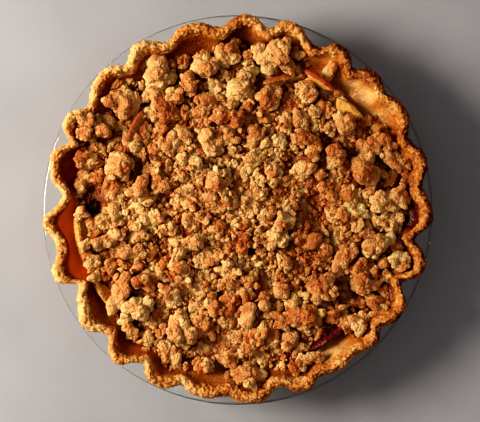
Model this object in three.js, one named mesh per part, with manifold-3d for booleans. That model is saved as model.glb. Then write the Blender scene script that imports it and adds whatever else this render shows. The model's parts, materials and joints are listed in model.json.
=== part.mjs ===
// Apple crumble pie in its clear glass dish: a fluted pastry case, apple filling, apple slices
// and a crumble top. Millimetres, +Z up. The dish stands on z = 0, with its axis on the Z axis.
import * as THREE from "three";
import { mergeVertices } from "three/addons/utils/BufferGeometryUtils.js";
import Module from "manifold-3d";

const wasm = await Module();
wasm.setup();

// Driving dimensions of the dish
const DISH_ACROSS = 244; // over the edge of the flange
const DISH_TALL = 38; // table to the top of the flange
const FOOT_ACROSS = 169; // where the lines of the wall and the table meet
const WALL_SLOPE = 0.748; // how far the wall leans out for each millimetre of height
const GLASS = 4.2;
const FLANGE_THICK = 3.6;
const DISH_SIDES = 56;

// Driving dimensions of the pastry case
const PASTRY = 4; // thickness of the case
const GAP = 0.3; // clear space between pieces that touch
const CASE_CORNER = 6; // bevel between the floor and the wall of the case
const RIM_MIDDLE = 114; // radius of the middle line of the standing rim
const RIM_REACH = 3.9; // how far a flute swings out and in from that line
const RIM_RISE = 0.8; // how much higher the crest of a flute stands than its middle
const FLUTE_STEPS = 5; // facets round one flute
const FLUTE_BLUNT = 0.25; // above 0, crests are blunt and notches narrow
// Outline of the rim, over its crown from outside to inside: distance from the middle line, height over
// the flange, and the share of a flute's swing that this place follows
const RIM_OUTLINE = [
  [0, 0, 0.8],
  [2.7, 4.5, 0.95],
  [3.2, 8.4, 1],
  [1.2, 12.4, 1],
  [-2.4, 12.4, 1],
  [-4.4, 8, 0.9],
  [-8, 1.8, 0.4],
];
// Hand-pinched flutes: where each bulges out, in degrees from +X, how much further than usual, and how much
// further than usual the notch after it reaches in
const FLUTES = [
  [14, 0.5, -1.5],
  [31, 0.8, -4],
  [44, -0.7, 0],
  [58, -0.7, 0.8],
  [74, 0.8, -0.4],
  [88.5, 0.8, 0],
  [104.5, -1.9, -1],
  [120, -0.7, -1],
  [135.5, -0.7, -0.4],
  [152, 0, 0.8],
  [165, -0.4, 4],
  [184, 0, -1],
  [199, 0, 3.5],
  [216, -1, 0.8],
  [231.5, 0, 1.5],
  [246.5, -0.7, -1],
  [259, -2.8, -1.6],
  [274, -0.7, 0.8],
  [290, -1.3, -1.6],
  [303, -3.1, -2.9],
  [315.5, -1.9, -2.2],
  [328, 0, 2],
  [342.5, 0.8, 2],
  [359, 0, -2.2],
];

// Driving dimensions of the filling and the crumble
const FILLING_TOP = 35.4;
const CORE_FLOOR = FILLING_TOP + GAP;
const CLUMP_FLOOR = CORE_FLOOR + 0.2; // no clump reaches lower than this
const CORE_EDGE = 97; // radius of the crumble's core
const CORE_LIP = 38.5; // height of the core at its edge
const CORE_CROWN = 48; // height of the core in the middle
const GAP_SIDE = 196; // direction in degrees where the crumble leaves the filling bare
const GAP_SPAN = 30; // how far round that bare place runs to either side
const GAP_WIDTH = 6; // how far the crumble draws back there
const HEAP_LIMIT = 102; // radius that no clump reaches past at a notch, where the pastry begins
const SCOOP_ROOM = 4; // how much further a clump may reach behind a crest
const CRUMB_SEED = 11;
const NUGGET_COUNT = 82;
const NUGGET_ACROSS = [11, 16];
const KNOBBLY_FROM = 17; // clumps at least this wide get more facets

// Clumps that stand out, by place: x, y, width, length, and the turn of the length from +X in degrees
const BIG_CLUMPS = [
  [-6, 97, 15, 17, 90],
  [23, 96, 19, 22, 0],
  [-70, 69, 19, 25, 100],
  [-50, 85, 17, 22, 10],
  [-43, 59, 14, 15, 0],
  [-30, 79, 12, 17, 100],
  [-19, 88, 16, 18, 20],
  [3, 74, 16, 19, 60],
  [20, 70, 15, 17, 45],
  [43, 73, 14, 15, 0],
  [69, 54, 14, 18, 110],
  [42, 45, 12, 22, -40],
  [60, 33, 15, 17, 30],
  [79, 24, 19, 21, 60],
  [97, 31, 10, 20, -50],
  [87, 42, 11, 16, 100],
  [92, 4, 16, 19, 0],
  [88, -21, 17, 20, 0],
  [79, -46, 16, 18, -50],
  [52, -48, 17, 23, 100],
  [42, -66, 17, 20, -20],
  [62, -64, 12, 15, 20],
  [67, -30, 12, 22, 70],
  [23, -17, 15, 16, 80],
  [6, -102, 16, 22, 0],
  [-37, -75, 15, 27, 110],
  [-73, -51, 14, 25, 75],
  [-58, -44, 14, 15, 0],
  [-88, 51, 19, 22, 0],
  [-18, 44, 15, 19, 110],
  [-11, 16, 16, 17, 0],
  [-73, 27, 15, 22, 80],
  [-61, -61, 16, 19, 45],
  [100, -31, 11, 13, 30],
  [-82, -20, 12, 16, 10],
];

// Apple slices that show. Each is a crescent with its peel outwards: from is the distance of the peel's
// middle from the axis, at is its direction in degrees, top its height, and tilt how far it is raised.
const SLICES = [
  { from: 98.8, at: 190, top: 46, facing: 190, radius: 42, half: 31, wide: 10, thick: 6, tilt: 52 },
  { from: 98.6, at: 213, top: 45, facing: 216, radius: 36, half: 17, wide: 7, thick: 4, tilt: 52 },
  { from: 94.5, at: 57.5, top: 50, facing: 56, radius: 42, half: 14, wide: 7, thick: 4, tilt: 68 },
  { from: 82, at: 141, top: 51, facing: 152, radius: 32, half: 18, wide: 8, thick: 3.4, tilt: 62 },
  { from: 98, at: 305, top: 45, facing: 305, radius: 40, half: 17, wide: 7, thick: 3.4, tilt: 62 },
  { from: 84, at: 73, top: 50.5, facing: 105, radius: 30, half: 15, wide: 7, thick: 3.6, tilt: 58 },
  { from: 95.5, at: 42.5, top: 47, facing: 53, radius: 36, half: 15, wide: 8, thick: 4, tilt: 25 },
];

const FULL_TURN = 2 * Math.PI;
const RIM_TALL = Math.max(...RIM_OUTLINE.map(([, up]) => up));
const CASE_OUT = GLASS + GAP; // depth of the case's outer face inside the dish's outer face
const CASE_IN = CASE_OUT + PASTRY; // depth of its inner face
const wallSpread = Math.hypot(1, WALL_SLOPE); // sideways shift of the wall for a millimetre of thickness
const degrees = THREE.MathUtils.degToRad;
const lerp = THREE.MathUtils.lerp;

// Radius at height z of a wall that lies a depth inside the dish's outer face
const wallAt = (z, depth) => FOOT_ACROSS / 2 + z * WALL_SLOPE - depth * wallSpread;

// A repeatable run of numbers from 0 to 1
function seededRandom(seed) {
  let state = seed;
  return () => {
    state = (state + 0x6d2b79f5) | 0;
    let t = Math.imul(state ^ (state >>> 15), 1 | state);
    t = (t + Math.imul(t ^ (t >>> 7), 61 | t)) ^ t;
    return ((t ^ (t >>> 14)) >>> 0) / 4294967296;
  };
}

// A closed geometry with nothing but its merged corners
function bare(geometry) {
  geometry.deleteAttribute("normal");
  geometry.deleteAttribute("uv");
  return mergeVertices(geometry, 1e-3);
}

function toSolid(geometry) {
  const merged = bare(geometry);
  const vertProperties = new Float32Array(merged.attributes.position.array);
  const triVerts = new Uint32Array(merged.index.array);
  return new wasm.Manifold(new wasm.Mesh({ numProp: 3, vertProperties, triVerts }));
}

function toGeometry(solid) {
  const { vertProperties, triVerts } = solid.getMesh();
  const geometry = new THREE.BufferGeometry();
  geometry.setAttribute("position", new THREE.BufferAttribute(vertProperties, 3));
  geometry.setIndex(new THREE.BufferAttribute(triVerts, 1));
  geometry.computeVertexNormals();
  return geometry;
}

// Turns an outline of radius and height round the Z axis
const turned = (outline, sides) => new THREE.LatheGeometry(outline, sides).rotateX(Math.PI / 2);

function makeMesh(name, geometry, finish) {
  const mesh = new THREE.Mesh(geometry, new THREE.MeshStandardMaterial(finish));
  mesh.name = name;
  return mesh;
}

// Dish: a flat foot, a leaning wall and a flat flange with a rounded edge
function dishGeometry() {
  const edge = DISH_ACROSS / 2;
  const round = FLANGE_THICK / 2;
  const under = DISH_TALL - FLANGE_THICK;
  const corner = CASE_CORNER; // rounding between foot and wall
  const bend = 2; // rounding between wall and flange
  const inner = (z) => wallAt(z, GLASS);
  const outline = new THREE.Path();
  outline.moveTo(0, 0);
  outline.lineTo(wallAt(0, 0) - corner / 2, 0);
  outline.quadraticCurveTo(wallAt(0, 0) + 1, 0, wallAt(corner, 0), corner);
  outline.lineTo(wallAt(under - bend, 0), under - bend);
  outline.quadraticCurveTo(wallAt(under, 0), under, wallAt(under, 0) + bend, under);
  outline.lineTo(edge - round, under);
  outline.absarc(edge - round, under + round, round, -Math.PI / 2, Math.PI / 2, false);
  outline.lineTo(inner(DISH_TALL) + bend, DISH_TALL);
  outline.quadraticCurveTo(inner(DISH_TALL), DISH_TALL, inner(DISH_TALL - bend), DISH_TALL - bend);
  outline.lineTo(inner(GLASS + corner), GLASS + corner);
  outline.quadraticCurveTo(inner(GLASS), GLASS, inner(GLASS) - corner, GLASS);
  outline.lineTo(0, GLASS);
  return turned(outline.getPoints(2), DISH_SIDES);
}

// The rim at a count of flutes along it: its swing, from -1 at a notch to 1 at a crest, its extra reach
// and its direction
function fluteAt(count) {
  const flute = Math.floor(count);
  const along = count - flute;
  const [angle, extra, notch] = FLUTES[flute % FLUTES.length];
  const [nextAngle, nextExtra] = FLUTES[(flute + 1) % FLUTES.length];
  const turn = THREE.MathUtils.euclideanModulo(nextAngle - angle, 360);
  const wave = Math.cos(FULL_TURN * along);
  const swing = wave + FLUTE_BLUNT * (1 - wave ** 2);
  return {
    swing,
    extra: lerp(-notch, lerp(extra, nextExtra, along), (1 + swing) / 2),
    angle: degrees(angle + turn * along),
  };
}

// The count of flutes along the rim at a direction
function fluteCount(angle) {
  const turnTo = ([start]) => THREE.MathUtils.euclideanModulo((angle * 360) / FULL_TURN - start, 360);
  const flute = FLUTES.reduce((best, row, k) => (turnTo(row) < turnTo(FLUTES[best]) ? k : best), 0);
  const next = FLUTES[(flute + 1) % FLUTES.length];
  return flute + turnTo(FLUTES[flute]) / THREE.MathUtils.euclideanModulo(next[0] - FLUTES[flute][0], 360);
}

// The pastry's outline at one place of a flute: up the outside, over the rim and down the inside
function pastryOutline(swing, extra) {
  const rest = DISH_TALL + GAP;
  const brim = DISH_TALL - 2; // where the wall inside begins to bend outwards
  const rim = RIM_OUTLINE.map(([off, up, share]) => [
    RIM_MIDDLE + off + share * (RIM_REACH * swing + extra),
    rest + up * (1 + (RIM_RISE * swing) / RIM_TALL),
  ]);
  return [
    [0, CASE_OUT],
    [wallAt(CASE_OUT, CASE_OUT) - CASE_CORNER, CASE_OUT],
    [wallAt(CASE_OUT + CASE_CORNER, CASE_OUT), CASE_OUT + CASE_CORNER],
    [wallAt(rest, CASE_OUT), rest],
    ...rim,
    [wallAt(brim, CASE_IN), brim],
    [wallAt(CASE_IN, CASE_IN), CASE_IN],
    [0, CASE_IN],
  ].map(([x, y]) => new THREE.Vector2(x, y));
}

// Crust: the outline carried round the rim, two of its places on each crest and one in each notch
function crustGeometry() {
  const steps = FLUTES.length * FLUTE_STEPS;
  const count = pastryOutline(0, 0).length;
  const geometry = new THREE.LatheGeometry(pastryOutline(0, 0), steps);
  const position = geometry.getAttribute("position");
  for (let step = 0; step <= steps; step++) {
    const { swing, extra, angle } = fluteAt((step + 0.5) / FLUTE_STEPS);
    pastryOutline(swing, extra).forEach((point, k) => {
      position.setXYZ(step * count + k, point.x * Math.cos(angle), point.x * Math.sin(angle), point.y);
    });
  }
  return geometry;
}

// Filling: the inside of the case up to the level of the juice, cut round the slices that stand in it
function fillingGeometry(cutters) {
  const depth = CASE_IN + GAP;
  const brim = 1.5; // rounding of the juice's edge
  const outline = [
    [0, depth],
    [wallAt(depth, depth), depth],
    [wallAt(FILLING_TOP - brim, depth), FILLING_TOP - brim],
    [wallAt(FILLING_TOP, depth) - brim, FILLING_TOP],
    [0, FILLING_TOP],
  ].map(([x, y]) => new THREE.Vector2(x, y));
  return toGeometry(largestPiece(cutBy(toSolid(turned(outline, DISH_SIDES)), cutters)));
}

const cutBy = (solid, cutters) => cutters.reduce((left, cutter) => left.subtract(cutter), solid);

function largestPiece(solid) {
  return solid.decompose().reduce((best, piece) => (piece.volume() > best.volume() ? piece : best));
}

// Apple slice: a crescent with rounded edges and its peel along the outer arc, lying flat with the middle
// of that arc at its origin
function sliceGeometry({ radius, half, wide, thick }, grow) {
  const bevel = 1.2;
  const arc = radius + grow - bevel;
  const end = degrees(half) + grow / radius;
  const shape = new THREE.Shape();
  shape.absarc(0, 0, arc, -end, end, false);
  shape.quadraticCurveTo(radius - 2 * (wide + grow), 0, arc * Math.cos(end), -arc * Math.sin(end));
  const depth = thick + 2 * grow - 2 * bevel;
  const options = { depth, bevelThickness: bevel, bevelSize: bevel, bevelSegments: 1, curveSegments: 5 };
  return new THREE.ExtrudeGeometry(shape, options).translate(-radius, 0, bevel - thick - grow);
}

// Puts a piece that lies at its own origin where a slice is: turned to its facing, tilted and raised
function placeSlice(piece, { from, at, top, facing, tilt }) {
  const lean = new THREE.Group();
  lean.rotation.y = -degrees(tilt);
  lean.add(piece);
  const stand = new THREE.Group();
  stand.position.set(from * Math.cos(degrees(at)), from * Math.sin(degrees(at)), top);
  stand.rotation.z = degrees(facing);
  stand.add(lean);
  stand.updateMatrixWorld(true);
  return stand;
}

// The room that a slice takes in what lies round it
function sliceCutter(slice) {
  const piece = new THREE.Mesh(sliceGeometry(slice, GAP + 0.1));
  placeSlice(piece, slice);
  return toSolid(piece.geometry.applyMatrix4(piece.matrixWorld));
}

// The room that the pastry takes in what lies inside it: the case drawn in by a gap
function crustCutter() {
  const drawnIn = 1 - (GAP + 0.1) / HEAP_LIMIT;
  return toSolid(crustGeometry().scale(drawnIn, drawnIn, 1));
}

// Height of the crumble's core at a distance from the axis
const coreTop = (radius) => lerp(CORE_CROWN, CORE_LIP, Math.min(1, radius / CORE_EDGE) ** 2);

// Share of its full reach that the core has in a direction
function coreReach(angle) {
  const turn = THREE.MathUtils.euclideanModulo(angle - degrees(GAP_SIDE), FULL_TURN);
  const off = Math.min(turn, FULL_TURN - turn);
  const share = 1 - THREE.MathUtils.smoothstep(off, 0, degrees(GAP_SPAN));
  return 1 - (share * GAP_WIDTH) / CORE_EDGE;
}

// Core of the crumble: a low mound with uneven ground
function coreSolid(random) {
  const rings = 6;
  const sides = 36;
  const unevenness = 2;
  const undercut = 2; // how far the foot of the mound lies inside its edge
  const outline = [new THREE.Vector2(0, CORE_FLOOR), new THREE.Vector2(CORE_EDGE - undercut, CORE_FLOOR)];
  for (let ring = rings; ring >= 0; ring--) {
    const radius = (CORE_EDGE * ring) / rings;
    outline.push(new THREE.Vector2(radius, coreTop(radius)));
  }
  const geometry = bare(turned(outline, sides));
  const position = geometry.getAttribute("position");
  for (let i = 0; i < position.count; i++) {
    const [x, y, high] = [position.getX(i), position.getY(i), position.getZ(i)];
    const reach = coreReach(Math.atan2(y, x));
    const lift = high > CORE_FLOOR + 1 ? unevenness * (random() - 0.5) : 0;
    position.setXYZ(i, x * reach, y * reach, high + lift);
  }
  return toSolid(geometry);
}

// A clump of baked crumble: a faceted ball with knobs, stretched to its width, length and height
function clumpGeometry(random, [width, length, height], detail) {
  const knobs = Array.from({ length: 7 }, () => {
    return new THREE.Vector3().setFromSphericalCoords(1, Math.acos(2 * random() - 1), FULL_TURN * random());
  });
  const geometry = bare(new THREE.IcosahedronGeometry(1, detail));
  const position = geometry.getAttribute("position");
  const point = new THREE.Vector3();
  for (let i = 0; i < position.count; i++) {
    point.fromBufferAttribute(position, i).normalize();
    const knob = Math.max(...knobs.map((k) => k.dot(point)));
    point.multiplyScalar(0.94 + 0.2 * Math.max(0, knob) ** 4);
    position.setXYZ(i, point.x, point.y, point.z);
  }
  return geometry.scale(length / 2, width / 2, height / 2);
}

// Sets a clump on the core, drawn in from the pastry where it would reach it, moved inwards and raised, and
// flat where it meets the filling
function placedClump(random, [x, y, width, length, turn], inwards, raised) {
  const height = 0.8 * width + 3;
  const detail = width < KNOBBLY_FROM ? 0 : 1;
  const angle = Math.atan2(y, x);
  const limit = HEAP_LIMIT + (SCOOP_ROOM * (1 + fluteAt(fluteCount(angle)).swing)) / 2;
  const radius = Math.min(Math.hypot(x, y), limit - (width + length) / 4) - inwards;
  const centre = coreTop(radius) + 0.15 * height + raised;
  const geometry = clumpGeometry(random, [width, length, height], detail)
    .rotateZ(degrees(turn))
    .translate(radius * Math.cos(angle), radius * Math.sin(angle), centre);
  const position = geometry.getAttribute("position");
  for (let i = 0; i < position.count; i++) position.setZ(i, Math.max(position.getZ(i), CLUMP_FLOOR));
  return toSolid(geometry);
}

// Smaller clumps between the big ones, spread evenly by keeping the draw that lies furthest from those
// before it
function nuggetPlaces(random) {
  const places = BIG_CLUMPS.map(([x, y]) => [x, y]);
  const nuggets = [];
  const tries = 12;
  for (let n = 0; n < NUGGET_COUNT; n++) {
    let best = null;
    for (let k = 0; k < tries; k++) {
      const radius = (CORE_EDGE - 2) * Math.sqrt(random());
      const angle = FULL_TURN * random();
      const spot = [radius * Math.cos(angle), radius * Math.sin(angle)];
      const room = Math.min(...places.map(([x, y]) => Math.hypot(x - spot[0], y - spot[1])));
      if (!best || room > best.room) best = { spot, room };
    }
    places.push(best.spot);
    const across = lerp(...NUGGET_ACROSS, random());
    nuggets.push([...best.spot, across, across * (1 + 0.4 * random()), 180 * random()]);
  }
  return nuggets;
}

// Crumble: the core cut round the slices, with the clumps fused on. A clump that would cross a slice or the
// pastry is moved inwards and raised until it is clear. Where no such place is found, a big clump is cut
// short and a smaller one is left out.
function crumbleGeometry(cutters) {
  const random = seededRandom(CRUMB_SEED);
  const moves = [[0, 0], [0, 2], [0, 3.5], [2, 0], [2, 2.5], [4, 0], [4, 2.5], [8, 0], [12, 0]];
  const pieces = [...cutters, crustCutter()];
  const clears = (clump) => pieces.every((piece) => clump.intersect(piece).volume() < 1e-6);
  const clearClump = (row) => moves.map((move) => placedClump(random, row, ...move)).find(clears);
  const cutClump = (row) => cutBy(placedClump(random, row, 0, 0), pieces);
  const clumps = [
    ...BIG_CLUMPS.map((row) => clearClump(row) ?? cutClump(row)),
    ...nuggetPlaces(random).map(clearClump).filter(Boolean),
  ];
  const core = cutBy(coreSolid(random), cutters);
  return toGeometry(largestPiece(clumps.reduce((heap, clump) => heap.add(clump), core)));
}

const clearGlass = { color: 0xdfe8e6, roughness: 0.05, metalness: 0, transparent: true, opacity: 0.35 };
const cutters = SLICES.map(sliceCutter);
const pie = new THREE.Group();
pie.add(
  makeMesh("dish", dishGeometry(), clearGlass),
  makeMesh("crust", crustGeometry(), { color: 0xc4843f, roughness: 0.6, metalness: 0 }),
  makeMesh("filling", fillingGeometry(cutters), { color: 0xa8501c, roughness: 0.25, metalness: 0 }),
  makeMesh("crumble", crumbleGeometry(cutters), { color: 0xb98245, roughness: 0.75, metalness: 0 }),
);
SLICES.forEach((slice, n) => {
  const bakedApple = { color: 0xdda54a, roughness: 0.35, metalness: 0 };
  pie.add(placeSlice(makeMesh(`apple_slice_${n + 1}`, sliceGeometry(slice, 0), bakedApple), slice));
});

export default pie;
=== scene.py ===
"""Looks of an apple crumble pie in its clear glass dish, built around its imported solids."""

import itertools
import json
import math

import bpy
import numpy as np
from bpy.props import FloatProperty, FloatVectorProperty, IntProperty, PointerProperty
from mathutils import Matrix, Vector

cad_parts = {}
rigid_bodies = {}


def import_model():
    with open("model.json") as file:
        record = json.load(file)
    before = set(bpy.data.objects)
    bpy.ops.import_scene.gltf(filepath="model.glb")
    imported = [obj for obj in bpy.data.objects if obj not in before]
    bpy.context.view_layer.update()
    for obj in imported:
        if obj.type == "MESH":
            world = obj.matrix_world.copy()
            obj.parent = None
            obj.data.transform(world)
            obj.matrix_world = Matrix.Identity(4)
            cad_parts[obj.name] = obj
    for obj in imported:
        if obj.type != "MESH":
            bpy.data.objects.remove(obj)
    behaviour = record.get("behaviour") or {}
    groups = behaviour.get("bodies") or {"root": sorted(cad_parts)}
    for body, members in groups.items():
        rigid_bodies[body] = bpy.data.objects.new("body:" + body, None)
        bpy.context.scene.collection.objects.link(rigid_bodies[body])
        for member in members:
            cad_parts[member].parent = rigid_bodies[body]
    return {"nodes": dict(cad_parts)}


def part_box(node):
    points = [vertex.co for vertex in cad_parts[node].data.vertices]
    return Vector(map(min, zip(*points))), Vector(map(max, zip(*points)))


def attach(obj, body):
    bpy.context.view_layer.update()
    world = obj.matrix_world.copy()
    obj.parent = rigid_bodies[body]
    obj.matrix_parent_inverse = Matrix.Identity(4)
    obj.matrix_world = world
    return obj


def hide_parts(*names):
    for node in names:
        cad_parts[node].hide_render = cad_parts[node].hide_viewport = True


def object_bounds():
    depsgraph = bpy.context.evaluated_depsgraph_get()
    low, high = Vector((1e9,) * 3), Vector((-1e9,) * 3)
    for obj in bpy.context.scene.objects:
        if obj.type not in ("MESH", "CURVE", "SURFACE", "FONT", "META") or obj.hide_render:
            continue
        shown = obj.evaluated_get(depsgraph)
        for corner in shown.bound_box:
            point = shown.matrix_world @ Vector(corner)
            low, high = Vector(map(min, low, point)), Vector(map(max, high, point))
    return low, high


bl_info = {
    "name": "Apple crumble pie",
    "version": (1, 0, 0),
    "blender": (4, 5, 0),
    "location": "3D View > Sidebar > Pie",
    "description": "Models an apple crumble pie in its glass dish, with baked pastry, apple and crumble",
    "category": "Add Mesh",
}

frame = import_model()
CAD_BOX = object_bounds()

MM = 0.001
BODY = "root"
SLICES = [f"apple_slice_{n}" for n in range(1, 8)]

# Apple slices: which way the peel faces in degrees round from +X, how many degrees it is tilted up,
# how red it is, how brown the flesh is, how narrow the peel is, and how many millimetres of the outer
# edge lie bare
PEEL_FACING = {
    "apple_slice_1": (190, 52, 0.1, 0.3, 0.85, 2.5),
    "apple_slice_2": (216, 52, 0.1, 0.3, 0.85, 1.5),
    "apple_slice_3": (56, 68, 0.64, 0.1, 0.5, 2.5),
    "apple_slice_4": (152, 62, 0.5, 0.25, 0.6, 1),
    "apple_slice_5": (305, 62, 1, 0.95, 0.5, 0.8),
    "apple_slice_6": (105, 58, 0.55, 0.3, 0.75, 0.6),
    "apple_slice_7": (53, 25, 0.05, 0.05, 0.5, 7),
}

# Outline of the rim, over its crown from outside to inside, in millimetres: distance from the middle
# line, height over the flange, and the share of a flute's swing that this place follows
RIM_OUTLINE = [
    (0, -0.4, 0.8), (2.7, 4.5, 0.95), (3.2, 8.6, 1), (2.1, 11.7, 1), (-0.5, 13, 1), (-3, 11.8, 1),
    (-4.4, 8.2, 0.9), (-5.6, 4.6, 0.7), (-8, 1.6, 0.4),
]

# Hand-pinched flutes of the rim: where each bulges out, in degrees from +X, how much further than
# usual, and how much further than usual the notch after it reaches in, both in millimetres
FLUTES = [
    (14, 0.5, -1.5), (31, 0.8, -4), (44, -0.7, 0), (58, -0.7, 0.8), (74, 0.8, -0.4), (88.5, 0.8, 0),
    (104.5, -1.9, -1), (120, -0.7, -1), (135.5, -0.7, -0.4), (152, 0, 0.8), (165, -0.4, 4),
    (184, 0, -1), (199, 0, 3.5), (216, -1, 0.8), (231.5, 0, 1.5), (246.5, -0.7, -1),
    (259, -2.8, -1.6), (274, -0.7, 0.8), (290, -1.3, -1.6), (303, -3.1, -2.9), (315.5, -1.9, -2.2),
    (328, 0, 2), (342.5, 0.8, 2), (359, 0, -2.2),
]

# Where juice has glazed the inside of the rim: direction and half width in degrees, and how much
GLAZED = [
    (188, 30, 1), (165, 9, 0.9), (152, 8, 0.7), (136, 8, 0.5), (90, 7, 0.9), (12, 8, 0.4),
    (358, 8, 0.8), (343, 6, 0.9), (290, 7, 0.5), (247, 8, 0.3), (232, 8, 0.4), (214, 9, 0.5),
]

# Where the slope inside the rim is paler or browner than usual: direction and half width in degrees,
# and how much. Partly how the dough browned, partly painted shade: the broad browner patches near 118
# and 235 degrees lie where the rim shades the slope
SLOPE_BAKE_AND_SHADE = [
    (40, 13, -0.4), (304, 10, -0.4), (20, 7, 0.15), (326, 10, 0.15), (352, 12, 0.1),
    (118, 35, 0.15), (235, 30, 0.15),
]

# How far the heap reaches, in millimetres by direction in degrees from +X
HEAP_EDGE = [
    (0, 104), (8, 105), (12, 109), (18, 106), (24, 104), (30, 105), (35, 101), (40, 96), (62, 96),
    (66, 102), (70, 106), (75, 109), (80, 107), (84, 98), (88, 102), (92, 106), (96, 104),
    (100, 98), (108, 98), (113, 101), (117, 107), (122, 108), (128, 106), (133, 109), (138, 108),
    (142, 103), (144, 99), (147, 106), (151, 110), (155, 107), (158, 102), (163, 104), (171, 101),
    (176, 104), (181, 98), (203, 98), (206, 104), (209, 99), (217, 101), (223, 99), (227, 101),
    (235, 104), (240, 102), (245, 105), (248, 109), (251, 106), (253, 99), (258, 102), (265, 99),
    (268, 107), (273, 110), (278, 107), (282, 102), (287, 103), (290, 111), (293, 105), (297, 106),
    (301, 100), (312, 100), (315, 107), (320, 108), (328, 109), (332, 104), (340, 107), (343, 109),
    (347, 104), (354, 103),
]

# Hollows between the clumps, in millimetres: x, y and radius
HOLLOWS = [
    (12, 81, 6), (45, 90, 6), (68, 36, 9), (48, 2, 11), (52, -15, 11), (15, -43, 9), (9, -23, 6),
    (-47, -22, 8), (-11, -53, 6), (-20, -86, 10), (65, -51, 8), (60, -70, 7), (87, -48, 5),
    (73, -28, 5), (-60, 68, 6), (-40, 83, 5), (-45, 6, 6), (-84, -46, 6), (55, 44, 6), (-63, 25, 7),
    (35, 30, 8),
]

# Where juice has boiled up through the crumble and burnt: x, y and radius in millimetres, and how much
BURNT = [
    (-90, 2.5, 6.5, 1), (-89, 9, 9, 0.75),
]

# Where the crumble is paler or browner than usual: x, y and radius in millimetres, and how much.
# Over broad parts of the heap these are partly uneven baking, partly painted light (paler) and painted
# shade (browner)
CRUMBLE_BAKE_AND_SHADE = [
    (-25, 33, 22, -0.1), (2, 27, 20, -0.12), (-17, -20, 18, -0.08), (27, 3, 16, 0.05),
    (53, 0, 22, 0.13), (38, -38, 22, 0.12), (0, -53, 22, 0.09), (0, -81, 22, 0.1),
    (0, 81, 22, -0.1), (92, 0, 26, -0.08),
]

# Clumps that stand out, in millimetres and degrees: x, y, width, length, the turn of the length from
# +X, and how brown each is from 0 to 1
BIG_CLUMPS = [
    (-6, 97, 15, 17, 90, 0.2), (23, 96, 19, 22, 0, 0.3), (-70, 69, 19, 25, 100, 0.25),
    (-50, 85, 17, 22, 10, 0.3), (-43, 59, 14, 15, 0, 0.6), (-30, 79, 12, 17, 100, 0.5),
    (-19, 88, 16, 18, 20, 0.25), (3, 74, 16, 19, 60, 0.2), (20, 70, 15, 17, 45, 0.4),
    (43, 73, 14, 15, 0, 0.15), (69, 54, 14, 18, 110, 0.3), (42, 45, 12, 22, -40, 0.45),
    (60, 33, 15, 17, 30, 0.3), (79, 24, 19, 21, 60, 0.4), (97, 31, 10, 20, -50, 0.25),
    (87, 42, 11, 16, 100, 0.3), (92, 4, 16, 19, 0, 0.4), (88, -21, 17, 20, 0, 0.15),
    (79, -46, 16, 18, -50, 0.4), (52, -48, 17, 23, 100, 0.4), (42, -66, 17, 20, -20, 0.65),
    (62, -64, 12, 15, 20, 0.45), (67, -30, 12, 22, 70, 0.35), (23, -17, 15, 16, 80, 0.05),
    (6, -102, 16, 22, 0, 0.35), (-37, -75, 15, 27, 110, 0.4), (-73, -51, 14, 25, 75, 0.35),
    (-58, -44, 14, 15, 0, 0.45), (-88, 51, 19, 22, 0, 0.4), (-18, 44, 15, 19, 110, 0.35),
    (-11, 16, 16, 17, 0, 0.45), (-73, 27, 15, 22, 80, 0.25), (-61, -61, 16, 19, 45, 0.1),
    (100, -31, 11, 13, 30, 0.1), (-82, -20, 12, 16, 10, 0.2), (-93, 30, 10, 15, 70, 0.1),
    (-98, 12, 7, 12, 80, 0.15), (-92, -44, 7, 9, 60, 0.05), (-57, -80, 9, 11, 30, 0.2),
    (-38, -95, 8, 15, 68, 0.2), (-20, -96, 8, 9, 0, 0.2), (36, -99, 7, 13, -70, 0.4),
    (45, -92, 9, 10, 0, 0.15), (76, -69, 11, 16, -45, 0.3), (85, -57, 11, 17, -30, 0.45),
    (94, -43, 8, 10, 0, 0.2), (97, -9, 9, 15, 85, 0.35), (57, 86, 9, 14, 60, 0.05),
    (-29, 4, 9, 10, 0, 0.3), (22, -1, 9, 10, 0, 0.3), (4, -20, 9, 14, 90, 0.6),
    (-25, -20, 10, 12, 0, 0.35), (-37, -35, 10, 12, 0, 0.3), (8, -44, 10, 11, 0, 0.35),
]


def linear(hex_colour):
    """Turns an sRGB hex colour into linear red, green and blue."""
    shares = [int(hex_colour[k:k + 2], 16) / 255 for k in (1, 3, 5)]
    return tuple(s / 12.92 if s <= 0.04045 else ((s + 0.055) / 1.055) ** 2.4 for s in shares)


def length(name, words, millimetres):
    """A length property with its default in millimetres."""
    return FloatProperty(name=name, description=words, default=millimetres * MM, unit="LENGTH")


def colour(name, words, hex_colour):
    """A colour property with an sRGB hex default."""
    return FloatVectorProperty(name=name, description=words, subtype="COLOR", size=3, min=0, max=1,
                               default=linear(hex_colour))


def amount(name, words, number):
    """A property that counts things."""
    return IntProperty(name=name, description=words, default=number)


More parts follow.
